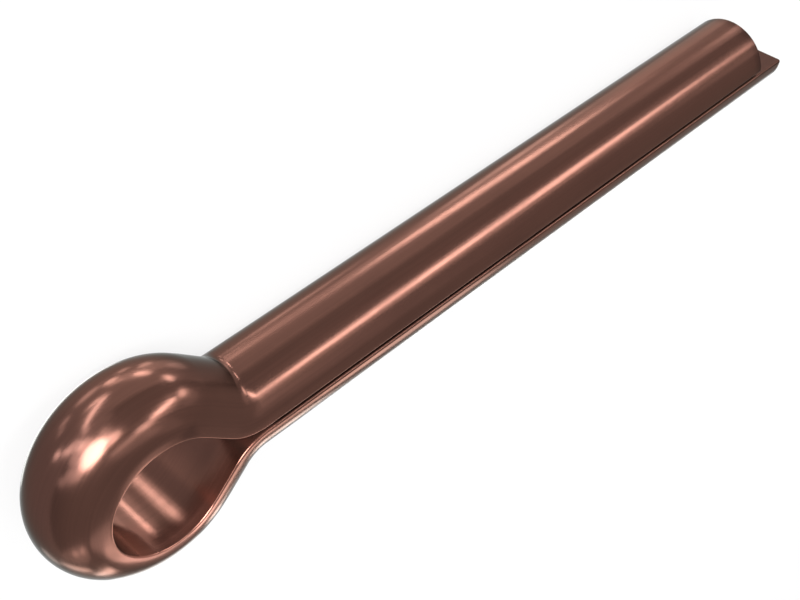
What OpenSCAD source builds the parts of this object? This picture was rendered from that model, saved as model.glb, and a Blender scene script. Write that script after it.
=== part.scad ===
// Cotter pin: one length of half-round wire, bent back on itself.
// The shank lies along +X, the eye is at -X, and the hole of the eye opens along Z.
// The origin is on the shank's axis, where the straight legs end and the neck begins.
// The split between the two legs is the plane Y = 0.

/* [Shank] */
// Diameter of the round shank that the two closed legs make together
shank_d = 5.8; // [2:0.1:12]
// Length of the shorter leg, from the neck to its cut end
short_leg_l = 45; // [8:0.5:150]
// How much further the longer leg reaches, so that the two can be prised apart
leg_step = 2.5; // [0:0.1:10]
// Width of the split between the flat sides of the two legs
leg_gap = 0.2; // [0.05:0.01:0.8]

/* [Eye] */
// Clear diameter inside the round part of the eye
eye_d = 7; // [4:0.1:40]
// Slope of the straight flanks between the neck and the eye, from the shank's axis, in degrees
flank_angle = 42.5; // [30:0.5:54]
// Radius of the crease that the back of the wire makes at the neck
crease_r = 0.7; // [0.3:0.05:2]

/* [Wire] */
// Rounding of the two long edges of the half-round wire
wire_edge_r = 0.15; // [0.05:0.01:0.5]

/* [Hidden] */
$fn = 96;

shank_r = shank_d / 2;
long_leg_l = short_leg_l + leg_step;

// The section of the wire is drawn about the shank's axis, half the gap behind its flat side
flat_x = leg_gap / 2;
edge_x = flat_x + wire_edge_r;
edge_angle = asin(edge_x / (shank_r - wire_edge_r));
edge_y = (shank_r - wire_edge_r) * cos(edge_angle);

// How far the section's axis runs from the centre of the neck bend, and from the centre of the eye
neck_axis_r = shank_r + crease_r;
eye_axis_r = eye_d / 2 - flat_x;

// The flank is as long as it takes to meet the neck bend and the eye without a corner
flank_rise = eye_axis_r * cos(flank_angle) - neck_axis_r * (1 - cos(flank_angle));
flank_l = flank_rise / sin(flank_angle);
eye_x = (eye_axis_r + neck_axis_r) * sin(flank_angle) + flank_l * cos(flank_angle);

// Shapes that meet edge to edge or face to face are joined at this scale and brought back to size,
// which makes the rounding of their computed places too small to leave a crack between them
joining_scale = 0.01;

// Joins its children into one shape
module joined() {
    scale(1 / joining_scale)
        union()
            for (i = [0 : $children - 1])
                scale(joining_scale)
                    children(i);
}

// Section without its rounded edges: the flat side and the round back, trimmed where the roundings start
module section_body() {
    reach = 2 * shank_r;
    tangent_x = reach * sin(edge_angle);
    tangent_y = reach * cos(edge_angle);
    intersection() {
        circle(shank_r);
        polygon([
            [flat_x, -edge_y],
            [edge_x, -edge_y],
            [tangent_x, -tangent_y],
            [reach, -reach],
            [reach, reach],
            [tangent_x, tangent_y],
            [edge_x, edge_y],
            [flat_x, edge_y]
        ]);
    }
}

// One rounded edge of the section, on the side given as 1 or -1
module section_edge(side) {
    translate([edge_x, side * edge_y])
        circle(wire_edge_r);
}

// Section of the half-round wire: flat side towards -X, round back towards +X
module wire_section() {
    joined() {
        section_body();
        section_edge(1);
        section_edge(-1);
    }
}

// Straight wire along +X from the origin, with its round back towards +Y
module straight_wire(length) {
    rotate([90, 0, 90])
        linear_extrude(length)
            wire_section();
}

// Bend that turns the wire away from the other leg, round a centre outside its round back
module neck_bend() {
    translate([0, neck_axis_r, 0])
        rotate_extrude(angle = flank_angle, start = -90 - flank_angle)
            translate([neck_axis_r, 0])
                mirror([1, 0])
                    wire_section();
}

// Straight slope from the neck bend out to the round of the eye
module flank() {
    translate([0, neck_axis_r, 0])
        rotate([0, 0, -flank_angle])
            translate([-flank_l, -neck_axis_r, 0])
                straight_wire(flank_l);
}

// Leg, neck bend and flank on the +Y side of the split
module side_of_pin(leg_l) {
    joined() {
        straight_wire(leg_l);
        neck_bend();
        flank();
    }
}

// Round of the eye, from one flank over the head to the other
module eye_loop() {
    translate([-eye_x, 0, 0])
        rotate_extrude(angle = 180 + 2 * flank_angle, start = 90 - flank_angle)
            translate([eye_axis_r, 0])
                wire_section();
}

module cotter_pin() {
    color("#8a5c4c")
        joined() {
            side_of_pin(short_leg_l);
            mirror([0, 1, 0])
                side_of_pin(long_leg_l);
            eye_loop();
        }
}

cotter_pin();
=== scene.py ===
# A cotter pin of half-round copper wire, lying on a pale table under soft studio light.
import math

import bpy
from mathutils import Matrix, Vector


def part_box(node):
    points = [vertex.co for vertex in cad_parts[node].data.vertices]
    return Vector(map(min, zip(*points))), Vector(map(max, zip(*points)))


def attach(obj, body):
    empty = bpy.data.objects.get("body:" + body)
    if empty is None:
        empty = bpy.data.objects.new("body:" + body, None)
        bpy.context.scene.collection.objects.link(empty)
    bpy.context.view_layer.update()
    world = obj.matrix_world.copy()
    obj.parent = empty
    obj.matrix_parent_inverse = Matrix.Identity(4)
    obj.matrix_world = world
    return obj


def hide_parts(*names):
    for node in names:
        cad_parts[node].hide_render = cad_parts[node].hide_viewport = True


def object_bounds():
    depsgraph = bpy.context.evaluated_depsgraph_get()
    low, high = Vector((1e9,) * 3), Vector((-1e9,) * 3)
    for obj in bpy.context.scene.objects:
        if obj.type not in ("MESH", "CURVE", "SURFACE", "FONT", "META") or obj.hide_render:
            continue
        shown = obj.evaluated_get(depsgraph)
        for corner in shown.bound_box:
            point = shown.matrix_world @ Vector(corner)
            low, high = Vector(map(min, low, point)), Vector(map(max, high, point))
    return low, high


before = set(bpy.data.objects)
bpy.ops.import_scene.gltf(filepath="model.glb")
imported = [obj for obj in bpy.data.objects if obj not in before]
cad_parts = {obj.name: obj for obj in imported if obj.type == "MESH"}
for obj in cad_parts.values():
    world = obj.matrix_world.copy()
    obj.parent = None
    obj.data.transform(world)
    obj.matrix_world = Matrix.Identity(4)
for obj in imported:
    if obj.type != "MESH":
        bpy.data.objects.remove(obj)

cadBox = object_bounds()
lowCorner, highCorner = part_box("cotter_pin")
mm = 0.001

# Shape of the wire and its two ends, in millimetres and degrees
pin = {
    "shankD": 5.8,  # round shank that the two closed legs make together
    "legStep": 2.5,  # how much further one leg reaches
    "legGap": 0.2,  # split between the legs
    "flankAngle": 42.5,  # slope of the straight flanks between neck and eye
    "creaseR": 0.7,  # radius that the back of the wire turns at the neck
    "edgeR": 0.15,  # rounding of the wire's two long edges
    "eyeEdgeR": 0.1,  # the same in the eye, where the bend sharpens it
    "edgeChange": (0.5, -4.0),  # along the pin, where the one rounding goes over into the other
    "cutEase": 0.08,  # rounding round the rims of the cut ends
    "backSteps": 72,  # faces round the back of the wire
    "flatSteps": 16,  # faces across the flat
    "edgeSteps": 7,  # faces round each long edge
    "legSteps": 60,  # faces along each leg
    "neckSteps": 26,  # faces along each neck bend
    "flankSteps": 8,  # faces along each flank
    "eyeSteps": 84,  # faces along half of the eye
    "easeSteps": 5,  # faces over the rim of a cut end
    "cutRings": 8,  # rings of points between that rim and the middle of the cut
}

shankR = pin["shankD"] / 2 * mm
flatH = pin["legGap"] / 2 * mm
heartH = 0.45 * shankR  # height in the section that the cut faces shrink to
edgeR = pin["edgeR"] * mm
eyeEdgeR = pin["eyeEdgeR"] * mm
neckR = shankR + pin["creaseR"] * mm
# the eye and the legs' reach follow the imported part
eyeR = highCorner.y - shankR
eyeX = lowCorner.x + highCorner.y
longTip = highCorner.x
shortTip = longTip - pin["legStep"] * mm
flank = math.radians(pin["flankAngle"])
flankL = (eyeR * math.cos(flank) - neckR * (1 - math.cos(flank))) / math.sin(flank)


def fade(value, gone, full):
    # 0 at gone, 1 at full, smooth between
    t = min(max((value - gone) / (full - gone), 0.0), 1.0)
    return t * t * (3 - 2 * t)


def wireSection(inset=0.0, cornerR=edgeR):
    # points round the half-round wire: height above the split's middle, sideways, and the way each faces
    points = []
    lean = math.asin((flatH + cornerR) / (shankR - cornerR))
    side = (shankR - cornerR) * math.cos(lean)
    edgeTurn = math.pi / 2 + lean

    def arc(centreH, centreZ, r, start, turn, steps):
        for i in range(steps):
            a = start - turn * i / steps
            n, m = math.cos(a), math.sin(a)
            points.append((centreH + r * n, centreZ + r * m, n, m))

    for i in range(pin["flatSteps"]):
        points.append((flatH + inset, side * (2 * i / pin["flatSteps"] - 1), -1.0, 0.0))
    arc(flatH + cornerR, side, cornerR - inset, math.pi, edgeTurn, pin["edgeSteps"])
    arc(0.0, 0.0, shankR - inset, math.pi / 2 - lean, math.pi - 2 * lean, pin["backSteps"])
    arc(flatH + cornerR, -side, cornerR - inset, lean - math.pi / 2, edgeTurn, pin["edgeSteps"])
    return points


def wirePath():
    # stations from the short leg's tip round the eye to the long one's: place on the line that the split
    # follows, the way the back of the wire faces, and distance along it from the far end of the eye
    half = []
    for i in range(pin["neckSteps"] + 1):
        a = flank * i / pin["neckSteps"]
        half.append((-neckR * math.sin(a), neckR * (1 - math.cos(a)), a, neckR * a))
    x, y, a, s = half[-1]
    for i in range(1, pin["flankSteps"]):
        d = flankL * i / pin["flankSteps"]
        half.append((x - d * math.cos(a), y + d * math.sin(a), a, s + d))
    s += flankL
    for i in range(pin["eyeSteps"] + 1):
        b = (math.pi / 2 + flank) * i / pin["eyeSteps"]
        a = flank - b
        half.append((eyeX + eyeR * math.sin(a), eyeR * math.cos(a), a, s + eyeR * b))
    bendL = half[-1][3]

    def leg(tip):
        reach = tip - pin["cutEase"] * mm
        places = [reach * (1 - i / pin["legSteps"]) for i in range(pin["legSteps"])]
        return [(place, 0.0, 0.0, -place) for place in places]

    path = []
    for x, y, a, s in leg(shortTip) + half:
        path.append((x, y, math.sin(a), math.cos(a), bendL - s))
    for x, y, a, s in reversed(leg(longTip) + half[:-1]):
        path.append((x, -y, math.sin(a), -math.cos(a), s - bendL))
    return path


def wireRings():
    # each ring: its points, their normals, distance along the wire, and how far it is on a cut face
    rings = []
    ease = pin["cutEase"] * mm
    path = wirePath()

    def ring(station, inset=0.0, ahead=0.0, tilt=0.0, shrink=1.0, cut=0.0):
        # tilt leans the normals from the section's own direction to the way the tip faces
        x, y, outX, outY, along = station
        spots, normals = [], []
        inEye = fade(x / mm, *pin["edgeChange"])
        keep = math.cos(tilt)
        for h, z, n, m in wireSection(inset, edgeR + (eyeEdgeR - edgeR) * inEye):
            h = heartH + (h - heartH) * shrink
            spots.append((x + outX * h + ahead, y + outY * h, z * shrink))
            normals.append((outX * n * keep + math.sin(tilt), outY * n * keep, m * keep))
        rings.append((spots, normals, along + math.copysign(ahead, along), cut))

    def cutEnd(station, order):
        # a flat sheared face with an eased rim
        steps = []
        for i in range(pin["cutRings"]):
            shrink = (i + 1) / (pin["cutRings"] + 1)
            steps.append(dict(inset=ease, ahead=ease, tilt=math.pi / 2, shrink=shrink, cut=1.0))
        for i in range(pin["easeSteps"]):
            part = i / pin["easeSteps"]
            t = math.pi / 2 * part
            inset, ahead = ease * (1 - math.sin(t)), ease * math.cos(t)
            steps.append(dict(inset=inset, ahead=ahead, tilt=math.pi / 2 - t, cut=1.0 - part))
        for step in steps[::order]:
            ring(station, **step)

    cutEnd(path[0], 1)
    for station in path:
        ring(station)
    cutEnd(path[-1], -1)
    return rings


# Stains, wear, painted shade and painted light on the wire. Each is the strongest of its patches. A patch is
# a strength and its fades, and a fade is a measure and where along it, in mm, the patch is gone and where it
# is full.
wearAndPaintedLight = {
    "seam": [(1.0, ("fromSplit", 0.3, 0.08), ("x", -2.2, -0.4))],  # dirt along the split
    "edge": [(1.0, ("longEdge", 0.35, 0.1), ("sectionX", 0.5, -1.0))],  # the head's rubbed long edges
    "inside": [(1.0, ("height", 0.5, 0.15), ("sectionX", -7.0, -9.5))],  # painted light: the eye's far inner wall made brighter
    "paintedHighlight": [(1.0, ("upperEdge", 1.0, 0.3), ("y", -1.0, -2.5), ("x", -2.0, -6.0))],  # painted highlight along the eye's upper long edge, on one side
    # painted shade: the copper made darker under the round of the eye and round the neck, where it lies, in
    # the eye by the flanks, and on the short tip's bare flat
    "paintedShade": [
        (1.0, ("z", 2.4, 0.8), ("x", -6.0, -11.0)),  # the round of the eye, down to where it lies
        (0.8, ("z", 2.0, 0.8), ("x", -4.4, -2.8), ("x", 0.3, -0.9)),  # round the neck
        (0.6, ("fromSplit", 4.0, 3.6), ("x", -5.5, -4.9), ("x", -4.0, -4.6)),  # in the eye, by the flanks
        (1.0, ("x", shortTip / mm - 1, shortTip / mm), ("y", -0.4, -0.15)),  # short tip, bare flat
    ],
    "nook": [  # dull skin on the inner wall, where nothing rubs
        (0.3, ("height", 0.5, 0.15), ("x", -2.6, -1.2), ("x", 0.6, 0.0)),
        (0.75, ("height", 0.5, 0.15), ("x", -6.5, -8.8), ("y", -1.0, -2.0), ("side", 0.0, 1.0)),
        (0.2, ("height", 0.5, 0.15), ("y", -0.5, -1.5), ("side", 1.2, 2.2)),
    ],
}


def measureWire(spot, h, side, sectionX):
    # what the wear, painted shade and painted light go by: the point's own place, and its place in the
    # section
    measures = {
        "x": spot[0],
        "y": spot[1],
        "z": spot[2],
        "fromSplit": abs(spot[1]),
        "height": h,
        "side": side,
        "sectionX": sectionX,
        "longEdge": math.hypot(h - flatH, abs(side) - shankR),  # distance from the nearer long edge
        "upperEdge": math.hypot(h - flatH, side - shankR),
    }
    return {name: measure / mm for name, measure in measures.items()}


def markedAt(patches, measures):
    # 0 where the mark isn't, 1 where it is full
    most = 0.0
    for strength, *fades in patches:
        for measure, gone, full in fades:
            strength *= fade(measures[measure], gone, full)
        most = max(most, strength)
    return most


def makePin():
    rings = wireRings()
    section = wireSection()
    around = len(section)
    roundL = [0.0]
    for here, before in zip(section[1:], section):
        roundL.append(roundL[-1] + math.dist(here[:2], before[:2]))

    spots, normals, alongWire, cutFace, measured = [], [], [], [], []
    for ringSpots, ringNormals, along, cut in rings:
        spots += ringSpots
        normals += ringNormals
        alongWire += [along] * around
        cutFace += [cut] * around
        for spot, (h, side, _, _) in zip(ringSpots, section):
            measured.append(measureWire(spot, h, side, ringSpots[0][0]))
    faces = []
    for k in range(len(rings) - 1):
        here, ahead = k * around, (k + 1) * around
        for i in range(around):
            j = (i + 1) % around
            faces.append((here + i, here + j, ahead + j, ahead + i))
    for k, order in ((0, -1), (len(rings) - 1, 1)):
        # a fan closes the middle of each cut face
        centre = sum((Vector(spot) for spot in rings[k][0]), Vector()) / around
        for i in range(around):
            j = (i + 1) % around
            faces.append((len(spots), k * around + i, k * around + j)[::order])
        spots.append(tuple(centre))
        normals.append((1.0, 0.0, 0.0))  # both tips face +X
        alongWire.append(0.0)
        cutFace.append(1.0)
        measured.append(measureWire(centre, heartH, 0.0, centre.x))

    mesh = bpy.data.meshes.new("copperPin")
    mesh.from_pydata(spots, [], faces)
    mesh.update()
    layers = {name: [markedAt(patches, measures) for measures in measured] for name, patches in wearAndPaintedLight.items()}
    layers["alongWire"] = alongWire
    layers["roundWire"] = roundL * len(rings) + [0.0, 0.0]
    layers["cutFace"] = cutFace
    for name, values in layers.items():
        layer = mesh.attributes.new(name, "FLOAT", "POINT")
        layer.data.foreach_set("value", values)
    mesh.shade_smooth()
    mesh.normals_split_custom_set_from_vertices(normals)
    mesh.validate()
    piece = bpy.data.objects.new("copper_pin", mesh)
    bpy.context.scene.collection.objects.link(piece)
    return piece


copperPin = makePin()
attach(copperPin, "root")
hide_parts("cotter_pin")
print("pin made:", len(copperPin.data.polygons), "faces")

# Camera: looks down across the eye and along the legs, rolled so that the legs rise to the right
shot = {
    "target": (11.53, 0.0, 0.957),  # mm
    "azimuth": -54.295,  # the way it looks, from +X
    "elevation": 31.266,
    "roll": -124.361,
    "distance": 75.022,  # mm
    "lens": 58.707,
    "clip": (0.001, 10.0),  # m
}


def aimCamera():
    a, e = math.radians(shot["azimuth"]), math.radians(shot["elevation"])
    look = Vector((math.cos(a) * math.cos(e), math.sin(a) * math.cos(e), -math.sin(e)))
    right = look.cross(Vector((0, 0, 1))).normalized()
    up = right.cross(look)
    rolled = Matrix.Rotation(math.radians(-shot["roll"]), 3, "Z")
    turned = Matrix((right, up, -look)).transposed() @ rolled
    data = bpy.data.cameras.new("camera")
    data.lens = shot["lens"]
    data.clip_start, data.clip_end = shot["clip"]
    camera = bpy.data.objects.new("camera", data)
    place = Vector(shot["target"]) * mm - look * shot["distance"] * mm
    camera.matrix_world = Matrix.Translation(place) @ turned.to_4x4()
    bpy.context.scene.collection.objects.link(camera)
    bpy.context.scene.camera = camera


aimCamera()
print("camera aimed")


class Shade:
    # one socket of a node tree; sums on it add Math nodes
    def __init__(self, tree, socket=None):
        self.tree = tree
        self.socket = socket

    def add(self, kind, settings=None, values=None, out=0):
        # a node of any type: its settings first, then the values or links of its sockets
        node = self.tree.nodes.new("ShaderNode" + kind)
        for name, setting in (settings or {}).items():
            setattr(node, name, setting)
        for name, value in (values or {}).items():
            if isinstance(value, Shade):
                self.tree.links.new(value.socket, node.inputs[name])
            else:
                node.inputs[name].default_value = value
        return Shade(self.tree, node.outputs[out] if len(node.outputs) else None)

    def sum(self, operation, *terms):
        return self.add("Math", {"operation": operation}, dict(enumerate(terms)))

    def __add__(self, other):
        return self.sum("ADD", self, other)

    def __sub__(self, other):
        return self.sum("SUBTRACT", self, other)

    def __rsub__(self, other):
        return self.sum("SUBTRACT", other, self)

    def __mul__(self, other):
        return self.sum("MULTIPLY", self, other)

    __radd__ = __add__
    __rmul__ = __mul__

    def layer(self, name):
        # the numbers in one of the mesh's layers
        return self.add("Attribute", {"attribute_name": name}, out="Fac")

    def noise(self, at, scale=1.0, detail=2.0, roughness=0.5):
        spec = {"Vector": at, "Scale": scale, "Detail": detail, "Roughness": roughness}
        return self.add("TexNoise", values=spec)

    def between(self, low, high, start=0.0, end=1.0):
        # smooth change from start to end as the value goes from low to high
        spec = {"Value": self, "From Min": low, "From Max": high, "To Min": start, "To Max": end}
        return self.add("MapRange", {"interpolation_type": "SMOOTHSTEP"}, spec)

    def mixed(self, colourA, colourB):
        # colour A where the value is 0, colour B where it is 1
        return self.add("Mix", {"data_type": "RGBA"}, {0: self, 6: colourA, 7: colourB}, out=2)

    def scaled(self, factor):
        # a colour made brighter or darker
        return self.add("VectorMath", {"operation": "SCALE"}, {0: self, "Scale": factor})


def newMaterial(name):
    material = bpy.data.materials.new(name)
    material.use_nodes = True
    material.node_tree.nodes.clear()
    return material, Shade(material.node_tree)


# Copper: drawn, darkened to brown by handling, brighter where it rubs and where it was cut, with painted
# shade, painted light and a painted highlight on parts of the eye, the neck and the short tip
copper = {
    "clean": (0.158, 0.0735, 0.055, 1.0),
    "tarnished": (0.118, 0.056, 0.043, 1.0),
    "paintedShade": (0.09, 0.043, 0.034, 1.0),  # painted shade: the copper darkened under the eye's round, round the neck, in the eye by the flanks and on the short tip's flat
    # the colour of rubbed edges and cut ends, and of the painted light on the eye's far wall
    "rubbedAndPaintedLight": (0.23, 0.106, 0.079, 1.0),
    "highlightColour": (0.32, 0.15, 0.115, 1.0),  # the painted highlight on the eye's upper lip
    "grime": (0.06, 0.031, 0.024, 1.0),
    "oxide": (0.23, 0.078, 0.052, 1.0),  # the dull skin in the nooks
    "oxideShare": 0.6,  # how far that skin hides the metal
    "glance": (0.54, 0.58, 0.57, 1.0),  # how bright the metal stays at a glancing angle
    "patchSize": 6.0,  # mm, of the tarnish
    "patchEdge": (0.42, 0.72),  # noise from which a patch starts, and at which it is full
    "patchShare": 0.45,
    "bandSize": (36.0, 0.6875),  # mm along and across, of tarnished bands
    "bandEdge": (0.35, 0.75),
    "bandShare": 0.25,
    "insideShare": 0.8,  # how far the painted light brightens the eye's far wall
    "edgeShare": 0.25,  # the same on the long edges
    "cutShare": 0.55,  # the same on the cut ends
    "grimeShare": 0.15,  # how far grime hides the metal everywhere in the split
    "grimePatchy": 0.35,  # how much further where the metal is tarnished
    "lineSize": (9.0, 0.11),  # mm along and across, of the draw lines
    "lineTones": (0.93, 1.07),  # brightness in a line and between two
    "lineEdge": 0.4,  # noise, either way from its middle, at which a tone is full
    "lineDepth": 0.0016,  # mm
    "dentSize": 1.6,  # mm, of the faint waves in the surface
    "dentDepth": 0.004,  # mm
    "gritPerMetre": 9000.0,
    "gritDepth": 0.0004,  # mm
    "shearPerMetre": (800.0, 700.0, 9000.0),  # the marks that the cutter left on the ends
    "shearDepth": 0.012,  # mm
    "roughness": 0.17,  # of clean metal, and what each mark adds to it
    "rougher": {"tarnish": 0.09, "lines": 0.06, "grime": 0.16, "cut": 0.14, "shear": 0.2, "rub": -0.03},
}


def copperMaterial():
    material, shade = newMaterial("copper")
    along, across = shade.layer("alongWire"), shade.layer("roundWire")
    cut, rub = shade.layer("cutFace"), shade.layer("edge")
    inside, nook = shade.layer("inside"), shade.layer("nook")
    grime = shade.layer("seam") * (1 - cut)
    place = shade.add("TexCoord", out="Object")

    def onWire(size):
        # a position on the unrolled wire, where one unit is as long and as wide as size says
        length, width = (part * mm for part in size)
        return shade.add("CombineXYZ", values={"X": along * (1 / length), "Y": across * (1 / width)})

    patches = shade.noise(place, 1 / mm / copper["patchSize"], detail=5.0, roughness=0.6)
    bands = shade.noise(onWire(copper["bandSize"]), detail=1.0)
    lines = (shade.noise(onWire(copper["lineSize"])) - 0.5) * (1 - cut)  # 0 on average
    dents = shade.noise(place, 1 / mm / copper["dentSize"], detail=1.0)
    grit = shade.noise(place, copper["gritPerMetre"])
    shearAt = shade.add("Mapping", values={"Vector": place, "Scale": copper["shearPerMetre"]})
    shear = shade.noise(shearAt)

    tarnish = patches.between(*copper["patchEdge"]) * copper["patchShare"]
    tarnish = (tarnish + bands.between(*copper["bandEdge"]) * copper["bandShare"]) * (1 - rub)
    colour = tarnish.mixed(copper["clean"], copper["tarnished"])
    # painted shade, left off where the eye's far wall gets its painted light
    colour = (shade.layer("paintedShade") * (1 - inside)).mixed(colour, copper["paintedShade"])
    # painted light: the eye's far inner wall brightened with the rubbed colour
    colour = (inside * copper["insideShare"]).mixed(colour, copper["rubbedAndPaintedLight"])
    colour = (rub * copper["edgeShare"] + cut * copper["cutShare"]).mixed(colour, copper["rubbedAndPaintedLight"])
    # painted highlight along the eye's upper lip
    colour = shade.layer("paintedHighlight").mixed(colour, copper["highlightColour"])
    colour = nook.mixed(colour, copper["oxide"])
    dirt = grime * (copper["grimeShare"] + patches * copper["grimePatchy"])
    colour = dirt.mixed(colour, copper["grime"])
    darkLine, paleLine = (colour.scaled(tone) for tone in copper["lineTones"])
    colour = lines.between(-copper["lineEdge"], copper["lineEdge"]).mixed(darkLine, paleLine)

    rougher = copper["rougher"]
    roughness = copper["roughness"] + tarnish * rougher["tarnish"] + lines * rougher["lines"]
    roughness = roughness + grime * rougher["grime"] + rub * rougher["rub"]
    roughness = roughness + cut * (rougher["cut"] + shear * rougher["shear"])
    height = lines * copper["lineDepth"] + dents * copper["dentDepth"]
    height = height + grit * copper["gritDepth"] + cut * shear * copper["shearDepth"]
    bump = shade.add("Bump", values={"Height": height * mm, "Distance": 1.0, "Strength": 1.0})
    metal = shade.add("BsdfPrincipled", values={
        "Base Color": colour,
        "Metallic": 1 - nook * copper["oxideShare"],
        "Roughness": roughness,
        "Specular Tint": copper["glance"],
        "Normal": bump,
    })
    shade.add("OutputMaterial", values={"Surface": metal})
    return material


copperPin.data.materials.append(copperMaterial())
print("copper finished")

# Table: a plain white sheet, as white as its own backdrop, that keeps the pin's shadow
table = {
    "reach": 3.0,  # m, from its middle to each side
    "colour": (0.66, 0.66, 0.66, 1.0),
    "roughness": 0.9,
    "white": 0.8,  # share of plain white in what is seen of it
}


def makeTable():
    reach, floor = table["reach"], cadBox[0].z
    corners = [(x * reach, y * reach, floor) for x, y in ((-1, -1), (1, -1), (1, 1), (-1, 1))]
    mesh = bpy.data.meshes.new("table")
    mesh.from_pydata(corners, [], [(0, 1, 2, 3)])
    material, shade = newMaterial("tableSheet")
    sheet = shade.add("BsdfPrincipled", values={
        "Base Color": table["colour"],
        "Roughness": table["roughness"],
        "Specular IOR Level": 0.0,
    })
    white = shade.add("Emission", values={"Strength": 1.0})
    seen = shade.add("LightPath", out="Is Camera Ray")
    mirrored = shade.add("LightPath", out="Is Glossy Ray")
    through = shade.add("LightPath", out="Is Transmission Ray")
    share = (seen + mirrored + through) * table["white"]
    surface = shade.add("MixShader", values={0: share, 1: sheet, 2: white})
    shade.add("OutputMaterial", values={"Surface": surface})
    mesh.materials.append(material)
    piece = bpy.data.objects.new("table", mesh)
    bpy.context.scene.collection.objects.link(piece)
    return piece


tableTop = makeTable()
print("table laid")

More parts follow.
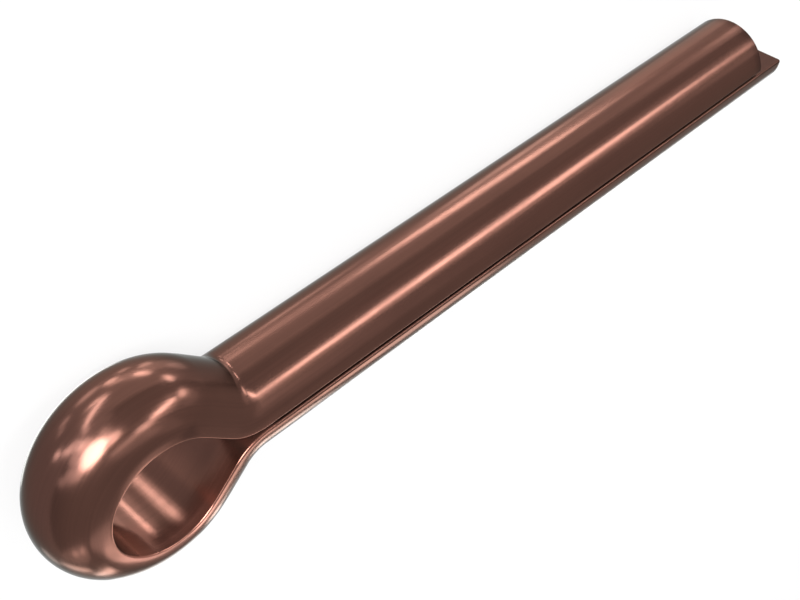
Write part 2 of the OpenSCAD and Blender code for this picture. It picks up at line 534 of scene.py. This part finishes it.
# Light: a grey room with soft lamps. Each is given by the way it lies from the pin (degrees round from +X
# towards +Y, and up), its width and height in degrees, how far its top leans the same way round, and its
# brightness. The lamps below the table shine through it, on the pin alone.
studio = {
    "distance": 0.6,  # m
    "roomDark": 0.73,
    "roomPale": 0.76,
    "paleSide": (0.17, 0.97, 0.12),  # the way to the paler wall
    "paleEdge": (0.1, 1.0),  # from where to where, towards that wall, the room gets paler
    "lamps": {
        # the big bank, past the round of the eye
        "bankHeart": (130, 33, 30, 28, 0, 21.0),
        "bankWing": (106, 43, 14, 15, 0, 7.0),
        "bankEdge": (108, 27, 9, 24, 0, 2.4),
        "bankFoot": (128, 13, 16, 17, -25, 5.4),
        "bankElbow": (142, 11, 11, 16, 0, 3.4),
        "bankSide": (155, 23, 13, 28, 0, 2.8),
        "bankLow": (163, 8, 8, 14, 0, 2.2),
        "bankVeil": (115, 8, 46, 18, 0, 0.55),
        # the leaning strip that draws the long glint on the legs
        "strip": (41.3, 41.8, 7, 31, 32, 9.3),
        "stripGlow": (40, 43, 20, 32, 32, 0.8),
        "stripHigh": (61, 60, 16, 10, 0, 4.2),
        "stripLow": (24.5, 21.5, 8, 15, 0, 5.8),
        "stripFoot": (37, 24, 9, 8, 0, 0.4),
        "stripVeil": (14, 28, 14, 26, 0, 0.4),
        # overhead
        "topArc": (92, 66, 34, 9, 0, 1.9),
        "topHaze": (70, 77, 40, 16, 0, 0.5),
        "topFront": (22, 66, 44, 18, 0, 0.25),
        # behind the eye, on the longer leg's side
        "backHigh": (-122, 26, 6, 8, 0, 2.4),
        "backMid": (-125, 17, 6, 9, 0, 2.1),
        "backLow": (-110, -4, 8, 22, 24, 4.8),
        "backFoot": (-114, -22, 10, 12, 20, 2.6),
        "backStreak": (-97, 6, 6, 22, 8, 8.8),
        "backSoft": (-122, 15, 18, 34, 10, 0.7),
        # on the longer leg's side, above the table
        "nearCrown": (-68, 53, 14, 12, 0, 0.8),
        "nearWide": (-100, 40, 28, 14, 0, 1.2),
        "nearBank": (-87, 32, 16, 12, 10, 2.7),
        "nearTall": (-70, 34, 7, 28, 0, 3.0),
        "nearLip": (-77, 26, 7, 9, 0, 2.0),
        "nearEdge": (-67, 21, 8, 8, 0, 4.2),
        "nearSpot": (-58.5, 17, 11, 15, 0, 4.6),
        "nearLine": (-67, 1, 4, 14, 0, 8.6),
        "nearSoft": (-48, 20, 30, 34, 0, 0.3),
        # on the longer leg's side, below the table
        "underEdge": (-48.5, -15.5, 31, 10, -20, 3.2),
        "underNear": (-78, -16, 14, 22, 0, 2.3),
        "underDeep": (-78, -56, 29, 16, 0, 3.4),
        # on the shorter leg's side, mostly below the table, from the tips round to the eye
        "underNook": (12, -28, 14, 14, 0, 1.3),
        "underHaze": (18, -36, 30, 18, 0, 0.7),
        "underCurve": (25, -46.5, 14, 6, -15, 3.4),
        "underSmall": (33, -6.5, 5, 13, -10, 11.5),
        "underCorner": (37, -57, 8, 6, 0, 2.9),
        "underSpot": (45, -31, 9.6, 15, -18, 6.6),
        "underGlow": (49, -38.5, 24, 18, 0, 0.9),
        "underLow": (64, -51, 11, 9, 0, 5.8),
        "underBridge": (66, -42, 12, 6, 20, 2.2),
        "underFar": (90, -60, 18, 10, 0, 2.6),
        "underBand": (95, -34, 11, 4, 0, 6.0),
        "underBandSoft": (95, -34, 24, 7, 0, 2.0),
        "underStreak": (102, -21, 6, 38, 58, 10.0),
        "underStreakEnd": (117, -6, 6, 12, 45, 4.5),
        "underFarEnd": (128, -53, 10, 8, 0, 2.4),
        "underElbow": (132, 0, 13, 24, -25, 5.0),
        "underSpeck": (135, -45, 8, 8, 0, 1.6),
        "underArm": (141, -10, 7, 12, -15, 6.5),
        "underTip": (148, -22, 7, 10, -20, 8.8),
    },
}


def hangLamps():
    # light linking leaves the table out of what stops the low lamps' light
    throughTable = bpy.data.collections.new("throughTable")
    throughTable.objects.link(tableTop)
    throughTable.collection_objects[0].light_linking.link_state = "EXCLUDE"
    distance = studio["distance"]
    for name, (azimuth, elevation, width, height, lean, glow) in studio["lamps"].items():
        a, e = math.radians(azimuth), math.radians(elevation)
        away = Vector((math.cos(a) * math.cos(e), math.sin(a) * math.cos(e), math.sin(e)))
        left = Vector((-math.sin(a), math.cos(a), 0))
        leaned = Matrix.Rotation(math.radians(-lean), 3, "Z")
        axes = Matrix((left, away.cross(left), away)).transposed() @ leaned
        wide, tall = (2 * distance * math.tan(math.radians(angle / 2)) for angle in (width, height))
        data = bpy.data.lights.new(name, "AREA")
        data.shape = "ELLIPSE"
        data.size, data.size_y = wide, tall
        data.energy = glow * math.pi * (math.pi / 4 * wide * tall)  # power of a lamp that looks this bright
        lamp = bpy.data.objects.new(name, data)
        lamp.matrix_world = Matrix.Translation(away * distance) @ axes.to_4x4()
        lamp.visible_camera = False
        if elevation < height / 2:
            lamp.light_linking.blocker_collection = throughTable
        bpy.context.scene.collection.objects.link(lamp)


def paintRoom():
    world = bpy.data.worlds.new("studio")
    world.use_nodes = True
    world.node_tree.nodes.clear()
    shade = Shade(world.node_tree)
    away = shade.add("TexCoord", out="Generated")
    ways = {0: away, 1: studio["paleSide"]}
    side = shade.add("VectorMath", {"operation": "DOT_PRODUCT"}, ways, out="Value")
    room = side.between(*studio["paleEdge"], studio["roomDark"], studio["roomPale"])
    shade.add("OutputWorld", values={"Surface": shade.add("Background", values={"Strength": room})})
    bpy.context.scene.world = world


hangLamps()
paintRoom()
print("lamps hung:", len(studio["lamps"]))

bpy.context.scene.view_settings.view_transform = "Standard"
